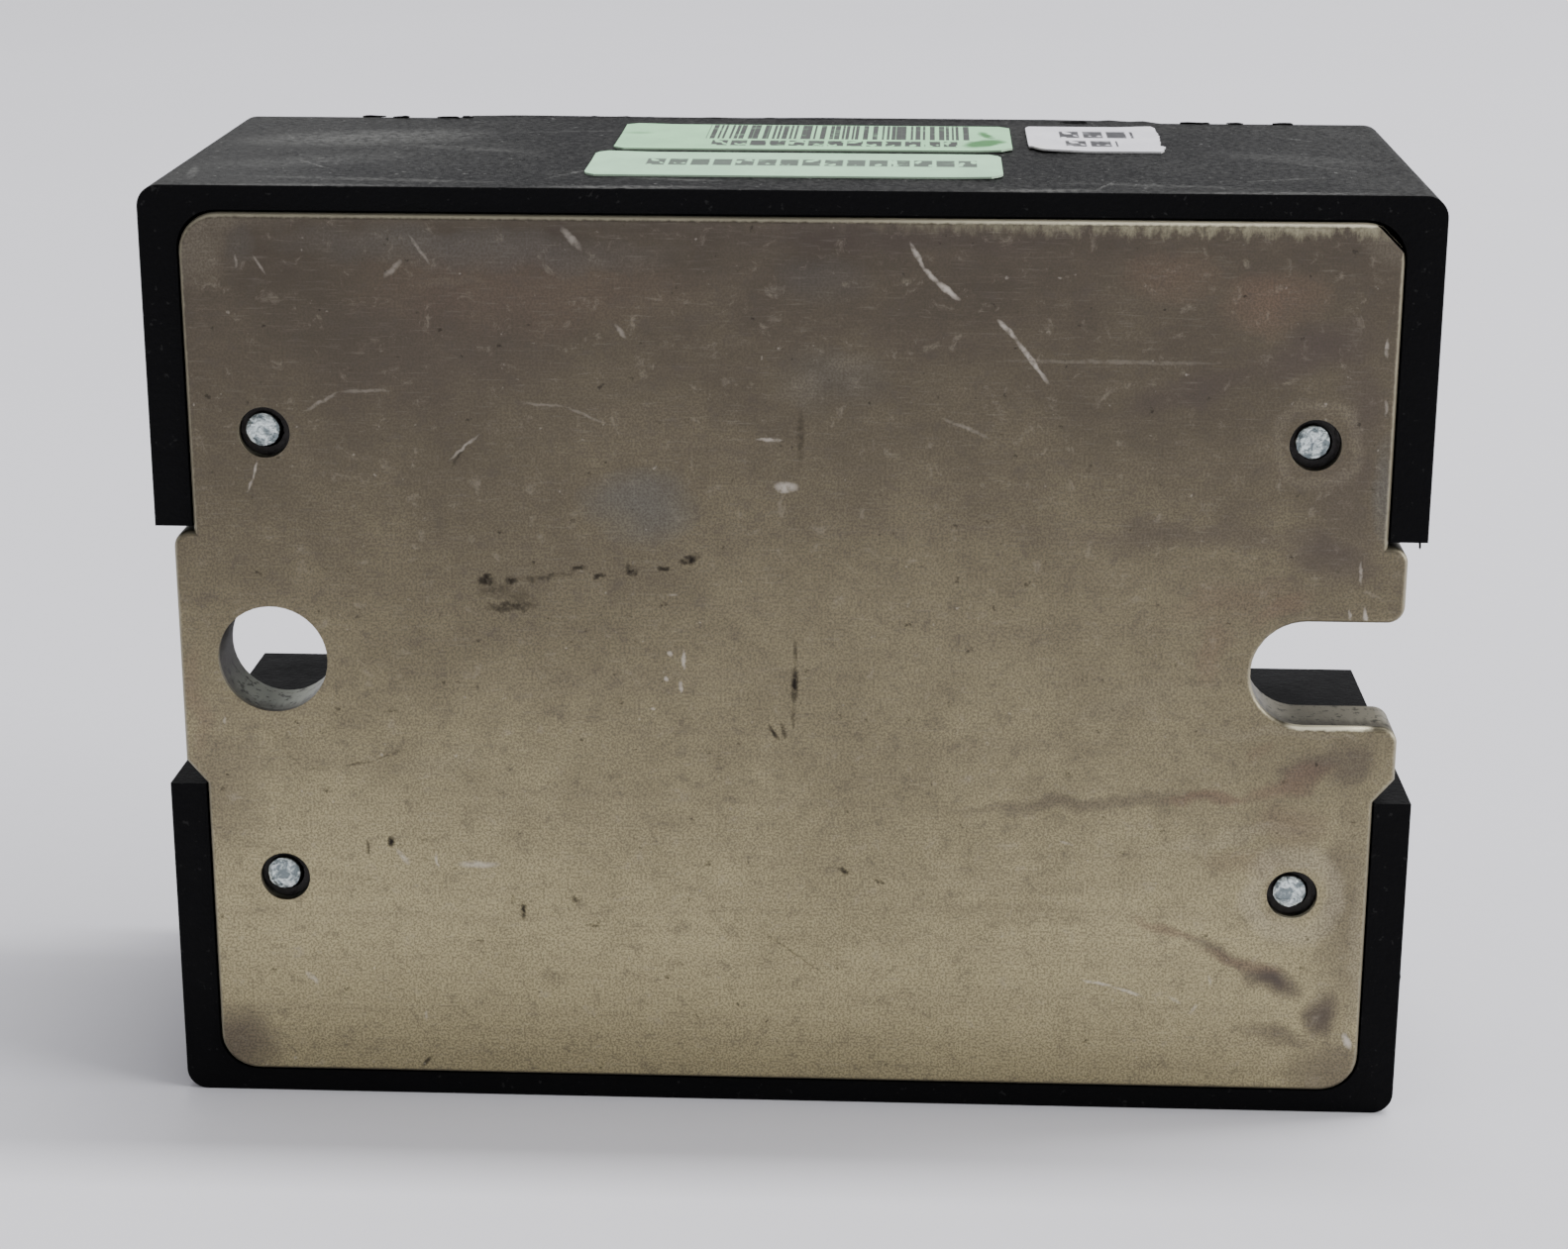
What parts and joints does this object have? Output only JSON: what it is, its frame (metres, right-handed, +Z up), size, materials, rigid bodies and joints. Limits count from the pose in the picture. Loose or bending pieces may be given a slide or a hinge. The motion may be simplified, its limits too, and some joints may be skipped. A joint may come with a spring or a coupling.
{
  "type": "solid state relay",
  "caption": "Flat panel-mount solid state relay: black moulded case on a metal base plate with a mounting hole and open slot, recessed screw terminals in its corners.",
  "frame": {"origin": "centre of the base plate's mounting face, midway between the mounting hole and the centre of the slot", "axes": "+X along the relay from the hole end to the slot end, +Y from the mounting face towards the terminal side, +Z up across the width, towards the side with the paper labels"},
  "size_m": [0.058, 0.0232, 0.0441],
  "materials": {
    "nickel_plate": "nickel plated and brushed, worn and stained",
    "case_plastic": "moulded black, fine matte texture, scuffed",
    "zinc_steel": "bright zinc",
    "dark_sealant": "dark potting",
    "solder": "dull tin",
    "alumina": "unglazed white",
    "copper": "bare copper",
    "silicon": "polished grey",
    "tinned_brass": "tinned, satin",
    "gel": "soft translucent gel",
    "board_laminate": "green solder mask",
    "white_plastic": "moulded",
    "capacitor_plastic": "moulded box",
    "resistor_blue": "lacquered",
    "resistor_tan": "lacquered",
    "black_plastic": "moulded",
    "led_red": "clear tinted resin",
    "front_label_film": "printed film",
    "green_label_paper": "satin printed paper",
    "white_label_paper": "satin printed paper",
    "clamp_steel": "nickel plated",
    "screw_steel": "nickel plated"
  },
  "bodies": {
    "root": {"base_plate": "nickel_plate", "case": "case_plastic", "locating_pins": "zinc_steel", "pin_seals": "dark_sealant", "solder_layer": "solder", "ceramic_substrate": "alumina", "copper_pads": "copper", "thyristor_chips": "silicon", "cathode_jumpers": "copper", "gate_wires": "solder", "gate_pins": "tinned_brass", "silicone_gel": "gel", "line_strip": "tinned_brass", "load_strip": "tinned_brass", "control_plus_strip": "tinned_brass", "control_minus_strip": "tinned_brass", "terminal_nuts": "zinc_steel", "control_board": "board_laminate", "optocoupler": "white_plastic", "snubber_capacitor": "capacitor_plastic", "snubber_resistor": "resistor_blue", "gate_resistors": "resistor_tan", "input_resistor": "resistor_tan", "input_diode": "black_plastic", "input_transistor": "black_plastic", "status_led": "led_red", "front_label": "front_label_film", "green_label_rear": "green_label_paper", "green_label_front": "green_label_paper", "white_label": "white_label_paper"},
    "line_clamp": {"line_clamp": "clamp_steel"},
    "line_screw": {"line_screw": "screw_steel"},
    "load_clamp": {"load_clamp": "clamp_steel"},
    "load_screw": {"load_screw": "screw_steel"},
    "control_plus_clamp": {"control_plus_clamp": "clamp_steel"},
    "control_plus_screw": {"control_plus_screw": "screw_steel"},
    "control_minus_clamp": {"control_minus_clamp": "clamp_steel"},
    "control_minus_screw": {"control_minus_screw": "screw_steel"}
  },
  "joints": [
    {"name": "line_clamp_lift", "type": "slide", "parent": "root", "child": "line_clamp", "axis": [0, 1, 0], "range_m": [0, 0.0035]},
    {"name": "line_screw_turn", "type": "hinge", "parent": "line_clamp", "child": "line_screw", "pos_m": [-0.0232, 0.0135, 0.01425], "axis": [0, 1, 0], "range_deg": [0, 1800]},
    {"name": "load_clamp_lift", "type": "slide", "parent": "root", "child": "load_clamp", "axis": [0, 1, 0], "range_m": [0, 0.0035]},
    {"name": "load_screw_turn", "type": "hinge", "parent": "load_clamp", "child": "load_screw", "pos_m": [-0.0232, 0.0135, -0.01425], "axis": [0, 1, 0], "range_deg": [0, 1800]},
    {"name": "control_plus_clamp_lift", "type": "slide", "parent": "root", "child": "control_plus_clamp", "axis": [0, 1, 0], "range_m": [0, 0.0035]},
    {"name": "control_plus_screw_turn", "type": "hinge", "parent": "control_plus_clamp", "child": "control_plus_screw", "pos_m": [0.0232, 0.0135, 0.01425], "axis": [0, 1, 0], "range_deg": [0, 1800]},
    {"name": "control_minus_clamp_lift", "type": "slide", "parent": "root", "child": "control_minus_clamp", "axis": [0, 1, 0], "range_m": [0, 0.0035]},
    {"name": "control_minus_screw_turn", "type": "hinge", "parent": "control_minus_clamp", "child": "control_minus_screw", "pos_m": [0.0232, 0.0135, -0.01425], "axis": [0, 1, 0], "range_deg": [0, 1800]}
  ],
  "couplings": [
    {"joint": "line_screw_turn", "follows": "line_clamp_lift", "rad_per_m": 8975.9},
    {"joint": "load_screw_turn", "follows": "load_clamp_lift", "rad_per_m": 8975.9},
    {"joint": "control_plus_screw_turn", "follows": "control_plus_clamp_lift", "rad_per_m": 8975.9},
    {"joint": "control_minus_screw_turn", "follows": "control_minus_clamp_lift", "rad_per_m": 8975.9}
  ]
}
